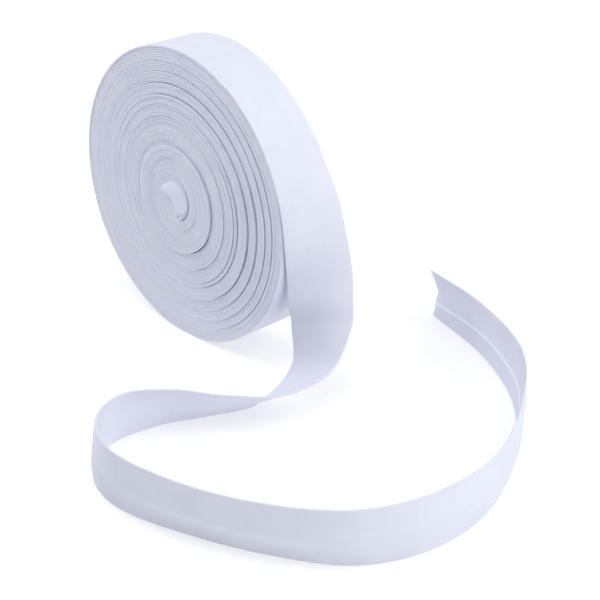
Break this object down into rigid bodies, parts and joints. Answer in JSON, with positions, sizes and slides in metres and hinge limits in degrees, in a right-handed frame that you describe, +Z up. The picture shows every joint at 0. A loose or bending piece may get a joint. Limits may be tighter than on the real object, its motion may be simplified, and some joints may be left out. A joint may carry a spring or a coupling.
{
  "type": "roll of bias tape",
  "caption": "Roll of folded cotton bias tape standing on its rim, with a loose end that twists down and runs round an open loop.",
  "frame": {"origin": "on the surface that the roll stands on, in the middle of the roll's small flat spot, under its axis", "axes": "+Y along the roll's axis from its near face to its far face, +X to the side on which the loose end leaves the roll, +Z up"},
  "size_m": [0.2331, 0.1854, 0.1204],
  "materials": {
    "wound_tape": "plain-woven white cotton with a cool cast, folded edges side by side",
    "loose_tape": "plain-woven white cotton with a cool cast, pressed folds"
  },
  "bodies": {
    "root": {"roll": "wound_tape", "tail": "loose_tape"}
  },
  "joints": []
}
